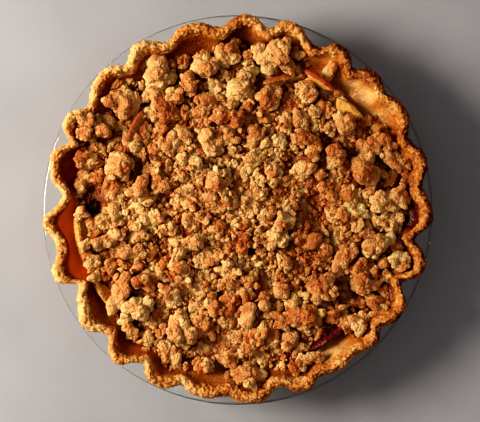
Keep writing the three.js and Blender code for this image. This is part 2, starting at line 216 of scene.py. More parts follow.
class PieSizes(bpy.types.PropertyGroup):
    """Sizes and counts of the pie's pieces."""

    foot: length("Foot", "Radius where the lines of the dish's wall and underside meet", 84.5)
    wall_slope: FloatProperty(name="Wall slope", default=0.748,
                              description="How far the wall leans out for its height")
    glass: length("Glass", "Thickness of the dish's wall", 4.2)
    flange: length("Flange", "Thickness of the dish's flange", 3.6)
    corner: length("Corner", "Rounding between the dish's foot and its wall", 6)
    pastry: length("Pastry", "Thickness of the pastry case", 4)
    rim_middle: length("Rim", "Radius of the middle line of the pastry rim", 114)
    flute_reach: length("Flutes", "How far the flutes swing out and in from that line", 3.9)
    flute_rise: length("Flute rise", "How much higher a crest of the rim stands than its middle", 0.8)
    heap_crown: length("Heap crown", "Height of the crumble's ground in the middle", 46)
    heap_lip: length("Heap lip", "Height of the crumble's ground at its edge", 38)
    heap_radius: length("Heap radius", "Radius of the crumble's ground", 97)
    nuggets: amount("Nuggets", "How many middle-sized clumps there are", 140)
    pebbles: amount("Pebbles", "How many small clumps there are", 106)
    edge_pebbles: amount("Edge pebbles", "How many more lie along the edge", 46)
    crumbs: amount("Crumbs", "How many crumbs there are", 420)
    edge_crumbs: amount("Edge crumbs", "How many more lie along the edge", 190)
    grains: amount("Grains", "How many loose grains there are", 1200)
    flakes: amount("Flakes", "How many oat flakes show", 260)


class PieColours(bpy.types.PropertyGroup):
    """Colours of the pie's materials."""

    crumble_pale: colour("Pale crumble", "Crumble that the oven hardly browned", "#F5DA9D")
    crumble_sand: colour("Sandy crumble", "Most of the crumble", "#EBC483")
    crumble_gold: colour("Golden crumble", "Toasted crumble", "#C87E42")
    crumble_brown: colour("Brown crumble", "Crumble that is nearly burnt", "#903810")
    # Crumble low in the heap: juice soaked in, with painted shade in the low places
    crumble_soaked_and_shaded: colour("Soaked crumble", "Crumble that has soaked up juice from below", "#8A2808")
    burnt: colour("Burnt crumble", "Crumble where juice has boiled up and burnt", "#3E1416")
    pastry_pale: colour("Pale pastry", "Pastry that the oven hardly browned", "#EFC27E")
    pastry_gold: colour("Golden pastry", "Most of the pastry", "#CF8840")
    pastry_brown: colour("Brown pastry", "Edges of the rim", "#79300D")
    # Brightest juice colour, which shows only where the painted glow lies
    juice: colour("Juice", "Baked apple juice", "#EE7830")
    juice_burnt: colour("Burnt juice", "Juice that is nearly burnt", "#571508")
    juice_dark: colour("Dark juice", "Juice that has caramelised", "#8E3512")
    apple_flesh: colour("Apple flesh", "Cut faces of the apple slices", "#E2B05C")
    apple_brown: colour("Browned apple", "Flesh that has caramelised", "#A4652E")
    apple_peel: colour("Apple peel", "Peel of the apple slices", "#BA4A30")
    glass: colour("Glass", "Clear glass of the dish", "#FCFEFD")
    floor: colour("Floor", "Floor of the stage", "#ADACAC")


def mm(size):
    """One of the pie's sizes by its name, in millimetres."""
    return getattr(bpy.context.scene.pie_sizes, size) / MM


def add_node(tree, kind, settings=None, links=None, out=0):
    """Adds a shader node and gives one of its outputs, if it has any. Lower-case settings are its own,
    others set sockets, and links feed them."""
    node = tree.nodes.new(f"ShaderNode{kind}")
    for key, value in (settings or {}).items():
        if key == "ramp":
            ramp = node.color_ramp
            while len(ramp.elements) < len(value):
                ramp.elements.new(1.0)
            for element, (position, rgb) in zip(ramp.elements, value):
                element.position = position
                element.color = (*rgb, 1.0)
        elif isinstance(key, str) and key.islower():
            setattr(node, key, value)
        else:
            node.inputs[key].default_value = value
    for key, source in (links or {}).items():
        tree.links.new(source, node.inputs[key])
    return node.outputs[out] if node.outputs else None


MATERIALS = {}


def material_by(recipe):
    """The material with the surface that a recipe adds to its tree, made once."""
    if recipe not in MATERIALS:
        material = bpy.data.materials.new(recipe.__name__)
        material.use_nodes = True
        tree = material.node_tree
        tree.nodes.clear()
        surface = recipe(tree, bpy.context.scene.pie_colours)
        add_node(tree, "OutputMaterial", None, {"Surface": surface})
        MATERIALS[recipe] = material
    return MATERIALS[recipe]


COLOUR_A, COLOUR_B, COLOUR_OUT = 6, 7, 2  # sockets of a Mix node that blends colours

# Light that goes into baked dough or apple comes out redder, less than a millimetre away
LIGHT_INSIDE = {
    "Subsurface Weight": 0.35,
    "Subsurface Radius": (1.0, 0.5, 0.25),
    "Subsurface Scale": 0.7 * MM,
}
MOST_GLOW = 0.12  # strongest painted glow, which stands for light that comes through glazed pastry a few millimetres deep


def baked_crumble(tree, c):
    """Baked crumble: rubbed flour, butter, sugar and oats. Sandy and toasted on top, dark red-brown low
    down, where juice soaked in and painted shade lies in the low places.
    """
    patch, sugar, grain = 7 * MM, 0.9 * MM, 1.5 * MM
    place = {"Vector": add_node(tree, "TexCoord", out="Object")}
    toast, soak = (add_node(tree, "Attribute", {"attribute_name": name}, out="Fac")
                   for name in ("toast", "soak"))
    patches = add_node(tree, "TexNoise", {"Scale": 1 / patch, "Detail": 1.0}, place, "Fac")
    sand = add_node(tree, "TexNoise", {"Scale": 1 / sugar, "Detail": 3.0}, place, "Fac")
    grains = add_node(tree, "TexVoronoi", {"Scale": 1 / grain}, place, "Distance")
    bake_and_shade = add_node(tree, "Math", {"operation": "SUBTRACT", 1: 0.275}, {0: toast})
    for speckle, share in ((patches, 0.4), (sand, 0.15)):
        bake_and_shade = add_node(tree, "Math", {"operation": "MULTIPLY_ADD", 1: share}, {0: speckle, 2: bake_and_shade})
    dry = add_node(tree, "ValToRGB", {"ramp": [
        (0.05, c.crumble_pale), (0.32, c.crumble_sand), (0.62, c.crumble_gold), (0.95, c.crumble_brown),
    ]}, {"Fac": bake_and_shade})
    # Dark red-brown low in the heap: soaked juice and painted shade, darkest where burnt
    moist_and_shaded = add_node(tree, "ValToRGB", {"ramp": [
        (0.75, c.crumble_soaked_and_shaded), (1.0, c.burnt),
    ]}, {"Fac": soak})
    relief = add_node(tree, "Math", {"operation": "MULTIPLY", 1: 0.8}, {0: sand})
    relief = add_node(tree, "Math", {"operation": "MULTIPLY_ADD", 1: -1.1}, {0: grains, 2: relief})
    return add_node(tree, "BsdfPrincipled", {"IOR": 1.42, **LIGHT_INSIDE}, {
        "Base Color": add_node(tree, "Mix", {"data_type": "RGBA"},
                               {0: soak, COLOUR_A: dry, COLOUR_B: moist_and_shaded}, COLOUR_OUT),
        "Normal": add_node(tree, "Bump", {"Strength": 1.0, "Distance": 0.8 * MM}, {"Height": relief}),
        "Roughness": add_node(tree, "MapRange", {"To Min": 0.46, "To Max": 0.36}, {"Value": soak}),
    })


def baked_pastry(tree, c):
    """Baked shortcrust pastry: grainy and golden, brown at its edges, glazed by juice on the inside,
    with a painted glow where the rim shades that inside.
    """
    patch, flour, grain = 6 * MM, 1.1 * MM, 1.4 * MM
    place = {"Vector": add_node(tree, "TexCoord", out="Object")}
    toast, glaze, syrup, shine = (add_node(tree, "Attribute", {"attribute_name": name}, out="Fac")
                                  for name in ("toast", "glaze", "syrup", "shine"))
    patches = add_node(tree, "TexNoise", {"Scale": 1 / patch, "Detail": 2.0}, place, "Fac")
    sand = add_node(tree, "TexNoise", {"Scale": 1 / flour, "Detail": 3.0}, place, "Fac")
    grains = add_node(tree, "TexVoronoi", {"Scale": 1 / grain}, place, "Distance")
    bake_and_shade = add_node(tree, "Math", {"operation": "SUBTRACT", 1: 0.5}, {0: toast})
    for speckle in (patches, sand):
        bake_and_shade = add_node(tree, "Math", {"operation": "MULTIPLY_ADD", 1: 0.5}, {0: speckle, 2: bake_and_shade})
    dry = add_node(tree, "ValToRGB", {"ramp": [
        (0.05, c.pastry_pale), (0.45, c.pastry_gold), (0.9, c.pastry_brown),
    ]}, {"Fac": bake_and_shade})
    # Juice colour: random patches, made brighter by the painted glow where the rim shades the slope
    juice_tone_and_glow = add_node(tree, "Math", {"operation": "SUBTRACT", 1: 0.2}, {0: syrup})
    juice_tone_and_glow = add_node(tree, "Math", {"operation": "MULTIPLY_ADD", 1: 0.4}, {0: patches, 2: juice_tone_and_glow})
    wet = add_node(tree, "ValToRGB", {"ramp": [
        (0.0, c.juice_burnt), (0.4, c.juice_dark), (0.9, c.juice),
    ]}, {"Fac": juice_tone_and_glow})
    relief = add_node(tree, "Math", {"operation": "MULTIPLY", 1: 0.9}, {0: sand})
    relief = add_node(tree, "Math", {"operation": "MULTIPLY_ADD", 1: -1.0}, {0: grains, 2: relief})
    depth = add_node(tree, "MapRange", {"To Min": 0.9, "To Max": 0.4}, {"Value": shine})
    return add_node(tree, "BsdfPrincipled", {"IOR": 1.45, **LIGHT_INSIDE}, {
        "Base Color": add_node(tree, "Mix", {"data_type": "RGBA"},
                               {0: glaze, COLOUR_A: dry, COLOUR_B: wet}, COLOUR_OUT),
        "Normal": add_node(tree, "Bump", {"Distance": 0.7 * MM}, {"Height": relief, "Strength": depth}),
        "Roughness": add_node(tree, "MapRange", {"To Min": 0.6, "To Max": 0.33}, {"Value": shine}),
        # Painted glow on the glazed slope that the rim shades
        "Emission Color": wet,
        "Emission Strength": add_node(tree, "MapRange", {"To Max": MOST_GLOW}, {"Value": syrup}),
    })


def baked_apple_juice(tree, c):
    """Baked apple juice: glossy and brown, with cloudy patches."""
    patch = 12 * MM
    place = {"Vector": add_node(tree, "TexCoord", out="Object")}
    patches = add_node(tree, "TexNoise", {"Scale": 1 / patch, "Detail": 3.0}, place, "Fac")
    ramp = [(0.3, c.juice_dark), (0.7, c.apple_brown)]
    settings = {"Roughness": 0.16, "IOR": 1.45, "Coat Weight": 0.4, "Coat Roughness": 0.08}
    return add_node(tree, "BsdfPrincipled", settings, {
        "Base Color": add_node(tree, "ValToRGB", {"ramp": ramp}, {"Fac": patches})})


def baked_apple(tree, c):
    """Baked apple: soft, juicy flesh gone golden, with a narrow peel along its outer edge."""
    streak = 1.6 * MM
    place = {"Vector": add_node(tree, "TexCoord", out="Object")}
    peel = add_node(tree, "Attribute", {"attribute_name": "peel"}, out="Fac")
    streaks = add_node(tree, "TexNoise", {"Scale": 1 / streak, "Detail": 3.0}, place, "Fac")
    edge = add_node(tree, "Math", {"operation": "SUBTRACT", 1: 0.45}, {0: peel})
    edge = add_node(tree, "Math", {"operation": "MULTIPLY_ADD", 1: 0.9}, {0: streaks, 2: edge})
    ramp = [(0.05, c.apple_flesh), (0.35, c.apple_brown), (0.65, c.apple_peel), (1.0, c.juice_burnt)]
    return add_node(tree, "BsdfPrincipled", {"Roughness": 0.42, "IOR": 1.42, **LIGHT_INSIDE}, {
        "Base Color": add_node(tree, "ValToRGB", {"ramp": ramp}, {"Fac": edge}),
        "Normal": add_node(tree, "Bump", {"Strength": 0.7, "Distance": 0.8 * MM}, {"Height": streaks}),
    })


def clear_pressed_glass(tree, c):
    """Pressed soda-lime glass: clear, fire-polished smooth. Lamps shine through it."""
    tint = (*c.glass, 1.0)
    settings = {"Base Color": tint, "Roughness": 0.02, "IOR": 1.5, "Transmission Weight": 1.0}
    return add_node(tree, "MixShader", None, {
        0: add_node(tree, "LightPath", out="Is Shadow Ray"),
        1: add_node(tree, "BsdfPrincipled", settings),
        2: add_node(tree, "BsdfTransparent", {"Color": tint}),
    })


def pale_plaster(tree, c):
    """Pale plaster: matt, with faint cloudy patches."""
    cloud = 60 * MM
    place = {"Vector": add_node(tree, "TexCoord", out="Object")}
    clouds = add_node(tree, "TexNoise", {"Scale": 1 / cloud, "Detail": 4.0}, place, "Fac")
    ramp = [(at, tuple(share * v for v in c.floor)) for at, share in ((0.3, 0.95), (0.7, 1.04))]
    return add_node(tree, "BsdfPrincipled", {"Roughness": 0.75}, {
        "Base Color": add_node(tree, "ValToRGB", {"ramp": ramp}, {"Fac": clouds})})


# Large odd numbers that mix the bits of a cell's place and of a seed
MIX_X, MIX_Y, MIX_Z, MIX_SEED = 374761393, 668265263, 2246822519, 3266489917


def scramble(cells, seed):
    """A random whole number for each cell of a grid, always the same for the same cell and seed."""
    x, y, z = cells.astype(np.uint32).T
    drawn = x * np.uint32(MIX_X) + y * np.uint32(MIX_Y) + z * np.uint32(MIX_Z)
    drawn = drawn + np.uint32(seed * MIX_SEED % 2 ** 32)
    drawn = (drawn ^ drawn >> np.uint32(15)) * np.uint32(MIX_Z)
    drawn = (drawn ^ drawn >> np.uint32(13)) * np.uint32(MIX_SEED)
    return drawn ^ drawn >> np.uint32(16)


FAR_CORNER = 1000.0  # added to every place, so that no cell's number is below 0
GRAIN_EDGE = 0.6  # square of the distance from a grain's middle to its crease, in cells
CREASE = 0.05  # height of a crease, against 1 for a grain's middle


def lattice(points, cell, seed):
    """Smooth noise from -1 to 1: random values at the corners of cells of a size, eased between them."""
    place = points / cell + FAR_CORNER
    corner = np.floor(place)
    share = place - corner
    share = share ** 3 * (share * (6 * share - 15) + 10)
    total = np.zeros(len(points))
    for offset in itertools.product((0, 1), repeat=3):
        weight = np.where(offset, share, 1 - share).prod(axis=1)
        total += weight * (scramble(corner + offset, seed) / 2 ** 31 - 1)
    return total


def grainy(points, cell, seed):
    """Rounded grains of a size, pressed together: 1 on the middle of a grain, about 0 in the creases."""
    place = points / cell + FAR_CORNER
    corner = np.floor(place)
    nearest = np.full(len(points), np.inf)
    for offset in itertools.product((-1, 0, 1), repeat=3):
        home = corner + offset
        drawn = scramble(home, seed)
        spot = np.column_stack([drawn & 1023, drawn >> 10 & 1023, drawn >> 20 & 1023]) / 1023
        nearest = np.minimum(nearest, ((home + spot - place) ** 2).sum(axis=1))
    return np.clip(1 - nearest / GRAIN_EDGE, CREASE, 1)


def eased(low, high, values):
    """0 at low and 1 at high, with an ease between. Low may lie above high."""
    share = np.clip((values - low) / (high - low), 0, 1)
    return share * share * (3 - 2 * share)


def off_direction(degrees, middle):
    """How far directions lie from a middle direction, from 0 to 180 degrees."""
    return np.abs((degrees - middle + 180) % 360 - 180)


def directions_of(points):
    """Directions of points round the axis, in degrees from +X."""
    return np.degrees(np.arctan2(points[:, 1], points[:, 0]))


def flat_distance(points, x=0, y=0):
    """How far points lie from a spot, seen from above."""
    return np.hypot(points[:, 0] - x, points[:, 1] - y)


def round_about(rows, degrees):
    """Adds up rows of direction, half width and how much, each less and less to its sides."""
    return sum(much * eased(half, half / 3, off_direction(degrees, way)) for way, half, much in rows)


def flat_points(points):
    """Points moved to the level z = 0, for a noise that only follows x and y."""
    return points * (1, 1, 0)


def spread(points, factors):
    """Points moved out from the axis, each by a factor."""
    return points * np.column_stack([factors, factors, np.ones_like(factors)])


def only(obj):
    """Makes one object the active and only selected one."""
    bpy.ops.object.select_all(action="DESELECT")
    obj.select_set(True)
    bpy.context.view_layer.objects.active = obj


def vectors(rows, field):
    """Vectors that rows of a mesh hold."""
    flat = np.empty(len(rows) * 3, np.float32)
    rows.foreach_get(field, flat)
    return flat.reshape(-1, 3).astype(float)


def piece_points(obj):
    """The vertices of a piece in millimetres."""
    return vectors(obj.data.vertices, "co") / MM


def piece_normals(obj):
    """The normals of a piece's vertices."""
    return vectors(obj.data.vertex_normals, "vector")


def set_points(obj, points):
    """Moves the vertices of a piece to places in millimetres."""
    obj.data.vertices.foreach_set("co", (points * MM).astype(np.float32).ravel())
    obj.data.update()


def set_attribute(obj, name, values):
    """Gives each vertex of a piece a number from 0 to 1 that its material reads."""
    made = obj.data.attributes.get(name) or obj.data.attributes.new(name, "FLOAT", "POINT")
    made.data.foreach_set("value", np.clip(values, 0, 1).astype(np.float32))


def piece_from(name, points, triangles):
    """A new piece from vertices in millimetres and triangles."""
    mesh = bpy.data.meshes.new(name)
    mesh.from_pydata((points * MM).tolist(), [], triangles.tolist())
    mesh.validate()
    obj = bpy.data.objects.new(name, mesh)
    bpy.context.scene.collection.objects.link(obj)
    return obj


def apply_modifier(obj, kind, **settings):
    """Adds a modifier with its settings and applies it."""
    only(obj)
    made = obj.modifiers.new(kind.lower(), kind)
    for key, value in settings.items():
        setattr(made, key, value)
    bpy.ops.object.modifier_apply(modifier=made.name)


def dress(obj, recipe, nodes=()):
    """Finishes a piece: smooth faces, its material, its body and the solids it stands for."""
    only(obj)
    bpy.ops.object.shade_smooth()
    obj.data.materials.clear()
    obj.data.materials.append(material_by(recipe))
    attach(obj, BODY)
    if nodes:
        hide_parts(*nodes)


POLE = 1  # radius in millimetres of the disc that closes a turned piece in its middle


def turned(name, sides, outline):
    """Draws a ring through an outline of radius and height in millimetres and closes it at both ends."""
    outline = [(radius * MM, height * MM) for radius, height in outline]
    radius, height = outline[0]
    bpy.ops.object.select_all(action="DESELECT")
    bpy.ops.mesh.primitive_circle_add(vertices=sides, radius=radius, fill_type="NGON",
                                      location=(0, 0, height))
    obj = bpy.context.object
    obj.name = obj.data.name = name
    bpy.ops.object.transform_apply(location=True)
    bpy.ops.object.mode_set(mode="EDIT")
    bpy.ops.mesh.select_mode(type="EDGE")
    bpy.ops.mesh.select_all(action="SELECT")
    for (old, low), (new, high) in zip(outline, outline[1:]):
        bpy.ops.mesh.extrude_edges_move(TRANSFORM_OT_translate={"value": (0, 0, high - low)})
        bpy.ops.transform.resize(value=(new / old, new / old, 1), center_override=(0, 0, high))
    bpy.ops.mesh.edge_face_add()
    bpy.ops.mesh.select_all(action="SELECT")
    bpy.ops.mesh.normals_make_consistent(inside=False)
    bpy.ops.object.mode_set(mode="OBJECT")
    return obj


def rounded(start, corner, end, steps):
    """Points of a curve that leaves start, turns at corner and comes to end."""
    shares = (k / steps for k in range(steps + 1))
    return [tuple((1 - t) ** 2 * a + 2 * t * (1 - t) * b + t * t * c
                  for a, b, c in zip(start, corner, end)) for t in shares]


def flowing(rows, spacing):
    """Points of a smooth curve through rows of numbers, evenly spaced by their first two."""
    rows = np.array([rows[0], *rows, rows[-1]], float)
    steps_between = 40
    t = np.linspace(0, 1, steps_between, endpoint=False)[:, None]
    dense = []
    for a, b, c, d in zip(rows, rows[1:], rows[2:], rows[3:]):
        dense.append(b + t / 2 * (c - a + t * (2 * a - 5 * b + 4 * c - d + t * (3 * b - 3 * c + d - a))))
    dense = np.vstack([*dense, rows[-1:]])
    steps = np.hypot(*np.diff(dense[:, :2], axis=0).T)
    along = np.concatenate([[0], steps.cumsum()])
    places = np.linspace(0, along[-1], int(along[-1] / spacing) + 1)
    return np.column_stack([np.interp(places, along, column) for column in dense.T])


def wall(height, depth):
    """Radius at a height of a wall that lies a depth inside the dish's outer face, in millimetres."""
    slope = bpy.context.scene.pie_sizes.wall_slope
    return mm("foot") + height * slope - depth * math.hypot(1, slope)


def floor_bend(depth, steps):
    """Outline from a floor up into its wall, both a depth inside the dish's outer faces."""
    edge, high = wall(depth, depth), depth + mm("corner")
    return rounded((edge - mm("corner"), depth), (edge, depth), (wall(high, depth), high), steps)


def juice_level():
    """Height of the filling's upper face in millimetres."""
    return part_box("filling")[1].z / MM


def dish_top():
    """Height of the flange's upper face in millimetres."""
    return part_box("dish")[1].z / MM


class PIE_OT_dish(bpy.types.Operator):
    """Draws the glass dish up from its foot, out to its flange and back down its inside"""

    bl_idname = "pie.dish"
    bl_label = "Glass dish"

    def execute(self, context):
        sides, lip_steps, corner_steps, bend_steps, bend = 160, 8, 6, 4, 2
        glass, corner, half = mm("glass"), mm("corner"), mm("flange") / 2
        edge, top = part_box("dish")[1].x / MM, dish_top()
        under = top - mm("flange")
        lip = [(edge - half + half * math.sin(a), under + half - half * math.cos(a))
               for a in (math.pi * k / lip_steps for k in range(lip_steps + 1))]
        dish = turned("glass_dish", sides, [
            *rounded((wall(0, 0) - corner / 2, 0), (wall(0, 0) + 1, 0), (wall(corner, 0), corner),
                     corner_steps),
            *rounded((wall(under - bend, 0), under - bend), (wall(under, 0), under),
                     (wall(under, 0) + bend, under), bend_steps),
            *lip,
            *rounded((wall(top, glass) + bend, top), (wall(top, glass), top),
                     (wall(top - bend, glass), top - bend), bend_steps),
            *floor_bend(glass, corner_steps)[::-1],
        ])
        dress(dish, clear_pressed_glass, ["dish"])
        bpy.ops.object.shade_smooth_by_angle(angle=math.radians(40))
        return {"FINISHED"}


FLUTE_BLUNT = 0.25  # above 0, crests are blunt and notches narrow


def flute_swing(degrees):
    """The rim's swing by direction, -1 in a notch and 1 on a crest, and its extra reach."""
    crests, reach, notch = np.array(FLUTES, float).T
    here = np.searchsorted(crests, degrees % 360, side="right") - 1
    after = (here + 1) % len(crests)
    along = (degrees - crests[here]) % 360 / ((crests[after] - crests[here]) % 360)
    wave = np.cos(2 * math.pi * along)
    swing = wave + FLUTE_BLUNT * (1 - wave ** 2)
    crest_reach = reach[here] + (reach[after] - reach[here]) * along
    share = (1 + swing) / 2
    return swing, share * crest_reach - (1 - share) * notch[here]


INTO_WALL = 0.4  # how far a piece reaches into what holds it, so that no gap shows
GAP = 0.3  # space that the solids of the dish and the pastry keep
CRUST_SIDES = 1280
RIM_SPACING = 0.68  # distance of the rows of vertices over the rim, in millimetres
GLOW_SIDE = 190  # direction in degrees where the painted glow and the brightest juice colour are strongest inside the rim
RIM_TALL = max(up for _, up, _ in RIM_OUTLINE)


def crust_section():
    """Rows round the pastry's section: radius, height and the share of a flute's swing."""
    top, middle = dish_top(), mm("rim_middle")
    out = mm("glass") - INTO_WALL
    inside = mm("glass") + GAP + mm("pastry")
    brim = top - 2
    below = [
        (POLE, out),
        *floor_bend(out, steps=4),
        *((wall(z, out), z) for z in (top * 0.4, top * 0.6, top * 0.8, brim)),
    ]
    bend = (wall(top, out), top - INTO_WALL, 0.3)
    over = flowing([*((middle + off, top + up, share) for off, up, share in RIM_OUTLINE),
                    (wall(brim, inside), brim, 0)], RIM_SPACING)
    back = [
        *((wall(z, inside), z) for z in (top * 0.8, top * 0.5)),
        *floor_bend(inside, steps=4)[::-1],
        (POLE, inside),
    ]
    return np.array([*((r, z, 0) for r, z in below), bend, *over, *((r, z, 0) for r, z in back)])


def pinched(points, share):
    """The pastry's points with its rim pinched into uneven flutes, by their share of the swing."""
    radius = flat_distance(points)
    rim = spread(flat_points(points), mm("rim_middle") / radius)
    wavering = directions_of(points) + 1.8 * lattice(rim, 17, 5)
    swing, extra = flute_swing(wavering + 0.6 * lattice(rim, 6, 6))
    reach = mm("flute_reach") * swing * (1 - 0.12 * np.abs(lattice(rim, 23, 7))) + extra
    above = np.maximum(points[:, 2] - dish_top(), 0)
    rise = above * (mm("flute_rise") * swing / RIM_TALL + 0.09 * lattice(rim, 14, 8))
    return spread(points, 1 + share * reach / radius) + rise[:, None] * (0, 0, 1)


def held_in(points, most, soft):
    """Points drawn in where they would pass a radius, from a soft distance before it."""
    radius = flat_distance(points)
    over = np.maximum(radius - most + soft, 0) / soft
    return spread(points, 1 - soft * (over - np.tanh(over)) / radius)


class PIE_OT_crust(bpy.types.Operator):
    """Draws the pastry case, pinches its rim into flutes, roughens it and browns its edges, with painted
    shade in its creases and away from the lamp, and a painted glow inside the rim
    """

    bl_idname = "pie.crust"
    bl_label = "Pastry case"

    def execute(self, context):
        top = dish_top()
        section = crust_section()
        crust = turned("pastry_case", CRUST_SIDES, section[:, :2])
        share = np.repeat(section[:, 2], CRUST_SIDES)
        points = piece_points(crust)
        degrees = directions_of(points)
        points = pinched(points, share)
        set_points(crust, points)

        # Grain of the rim, coarser on its crown and outside than on the slope inside
        normals = piece_normals(crust)
        outward = (normals[:, :2] * points[:, :2]).sum(axis=1) / flat_distance(points)
        height = points[:, 2] - top
        rough = np.maximum(eased(5, 9, height), eased(-0.2, 0.4, outward) * eased(0.5, 2, height))
        coarse, fine = grainy(points, 3.2, 2), grainy(points, 1.6, 3)
        swell = 0.9 * lattice(points, 9, 1) * eased(0, 4, height)
        swell += (0.2 + 0.8 * rough) * (1.3 * coarse + 1.0 * fine - 1.4) * (share > 0)
        swell += 0.1 * lattice(points, 1.1, 4) * (share > 0)
        points = held_in(points + normals * swell[:, None], CAD_BOX[1].x / MM, 2)
        set_points(crust, points)

        # Browning, paler where the pastry lies against the glass. It holds painted shade too: browner in
        # the grain's creases, and toward +X, the side away from the lamp
        height = points[:, 2] - top
        side = np.cos(np.radians(degrees))
        edge = eased(-0.1, 0.7, outward) * rough
        against_glass = eased(0.2, 0.6, np.maximum(outward, -normals[:, 2])) * eased(0, -2, height)
        # Browner toward +X and on its outer edges there, the side away from the lamp: partly uneven
        # baking, partly painted shade
        toast = 0.41 + 0.06 * side + edge * (0.1 + 0.36 * side) + 0.25 * lattice(points, 8, 9)
        toast += (1 - rough) * (0.12 + round_about(SLOPE_BAKE_AND_SHADE, degrees))
        # Painted shade: browner in the creases of the rim's grain
        toast += rough * (0.3 - 0.4 * fine - 0.2 * coarse) - 0.22 * against_glass
        set_attribute(crust, "toast", toast)

        # Juice on the slope inside, with a painted glow and brighter juice colour where the rim shades
        # it
        inner = eased(0.25, -0.25, outward) * eased(11, 7, height) * (1 - against_glass)
        wet = round_about(GLAZED, degrees)
        set_attribute(crust, "glaze", inner * (wet + 0.1 + 0.3 * lattice(points, 7, 10)))
        # Painted glow and brighter juice colour: most round 190 degrees, and less all along the inside
        # toward the lamp (-X), where the rim shades the slope
        glow_pool = eased(24, 10, off_direction(degrees, GLOW_SIDE)) * eased(8, 3, height)
        set_attribute(crust, "syrup", inner * np.maximum(glow_pool, 0.4 * eased(0.2, -0.6, side)))
        set_attribute(crust, "shine", inner)
        dress(crust, baked_pastry, ["crust"])
        return {"FINISHED"}


class PIE_OT_filling(bpy.types.Operator):
    """Fills the case with juicy apple up to the level that shows at its edge"""

    bl_idname = "pie.filling"
    bl_label = "Apple filling"

    def execute(self, context):
        sides, shown_from, shown_rings = 300, 80, 22
        inside = mm("glass") + mm("pastry") - INTO_WALL
        corner, level = mm("corner"), juice_level()
        edge = wall(level, inside)
        rings = (*np.linspace(edge, shown_from, shown_rings), 60, 30, POLE)
        outline = [(POLE, inside), (wall(inside, inside) - corner, inside),
                   (wall(inside + corner, inside), inside + corner), *((ring, level) for ring in rings)]
        filling = turned("apple_juice", sides, outline)
        points = piece_points(filling)
        flat = flat_points(points)
        on_top = points[:, 2] > level - 0.01
        points[:, 2] += on_top * (0.7 * lattice(flat, 9, 11) + 0.3 * lattice(flat, 3.5, 12))
        set_points(filling, points)
        dress(filling, baked_apple_juice, ["filling"])
        return {"FINISHED"}


def copy_of(node, name):
    """A copy of a solid's mesh as a new piece, with its corners merged."""
    copy = bpy.data.objects.new(name, frame["nodes"][node].data.copy())
    bpy.context.scene.collection.objects.link(copy)
    only(copy)
    bpy.ops.object.mode_set(mode="EDIT")
    bpy.ops.mesh.select_all(action="SELECT")
    bpy.ops.mesh.remove_doubles(threshold=0.01 * MM)
    bpy.ops.object.mode_set(mode="OBJECT")
    return copy


def slice_piece(node):
    """Name of the piece that stands for a slice's solid."""
    return f"{node}_baked"


class PIE_OT_slices(bpy.types.Operator):
    """Rounds the apple slices, wrinkles them and marks their peel"""

    bl_idname = "pie.slices"
    bl_label = "Apple slices"

    def execute(self, context):
        for number, node in enumerate(SLICES):
            piece = copy_of(node, slice_piece(node))
            apply_modifier(piece, "REMESH", mode="VOXEL", voxel_size=0.5 * MM)
            apply_modifier(piece, "SMOOTH", factor=0.5, iterations=1)
            points = piece_points(piece)
            normals = piece_normals(piece)
            *turns, redness, browned, narrow, _ = PEEL_FACING[node]
            facing, tilt = (math.radians(v) for v in turns)
            outward = np.array([math.cos(tilt) * math.cos(facing), math.cos(tilt) * math.sin(facing),
                                math.sin(tilt)])
            peel = eased(narrow, narrow + 0.15, normals @ outward)
            set_attribute(piece, "peel", browned + (redness - browned) * peel)
            swell = 0.35 * lattice(points, 5, 20 + number) + 0.2 * lattice(points, 2, 30 + number)
            set_points(piece, points + normals * swell[:, None])
            dress(piece, baked_apple, [node])
        return {"FINISHED"}


BARE_SIDE = 196  # direction in degrees where the crumble leaves the juice bare
BARE_SPAN = 30  # how many degrees the bare place runs to either side
BARE_WIDTH = 6  # how far the crumble draws back there, in millimetres
HOLLOW_DEPTH = 5  # in millimetres
OVER_JUICE = 1.5  # least height of the ground over the juice, in millimetres


def dome(radius):
    """Height of the crumble's ground without hills, hollows and relief."""
    share = np.clip(radius / mm("heap_radius"), 0, 1) ** 2
    return mm("heap_crown") + (mm("heap_lip") - mm("heap_crown")) * share


def ground(points):
    """Height of the crumble's ground without its relief: a dome with hills and hollows."""
    height = dome(flat_distance(points)) + 1.4 * lattice(flat_points(points), 24, 46)
    for x, y, wide in HOLLOWS:
        height -= HOLLOW_DEPTH * eased(1.3 * wide, 0.3 * wide, flat_distance(points, x, y))
    return np.maximum(height, juice_level() + OVER_JUICE)


class PIE_OT_core(bpy.types.Operator):
    """Lays the ground of the crumble, with the finest crumbs as its relief"""

    bl_idname = "pie.core"
    bl_label = "Crumble ground"

    def execute(self, context):
        sides, rings, pole, any_height = 420, 104, 0.8, 40
        edge = mm("heap_radius")
        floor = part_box("crumble")[0].z / MM - 1
        top = [(radius, any_height) for radius in np.linspace(edge, pole, rings)]
        core = turned("crumble_ground", sides, [(edge, floor), *top])
        points = piece_points(core)
        bare = eased(BARE_SPAN, 0, off_direction(directions_of(points), BARE_SIDE))
        points = spread(points, (edge - BARE_WIDTH * bare) / edge)
        flat = flat_points(points)
        relief = 1.6 * grainy(flat, 6, 41) + grainy(flat, 3, 42) + 0.5 * grainy(flat, 1.6, 43) - 1.8
        points[:, 2] = np.where(points[:, 2] > floor + 0.5, ground(points) + relief, floor)
        set_points(core, points)
        set_attribute(core, "toast", 0.5 + 0.4 * lattice(points, 6, 45))
        dress(core, baked_crumble, ["crumble"])
        return {"FINISHED"}


REACH = 125  # half width of the grid that heights are kept in, in millimetres


def cells_of(points):
    """Cells of a grid of square millimetres that points lie over."""
    cells = np.rint(points[:, :2]).astype(int) + REACH
    return cells[:, 0], cells[:, 1]


def neighbours(grid):
    """The four grids that hold each cell's neighbours."""
    return [np.roll(grid, shift, axis) for axis in (0, 1) for shift in (-1, 1)]


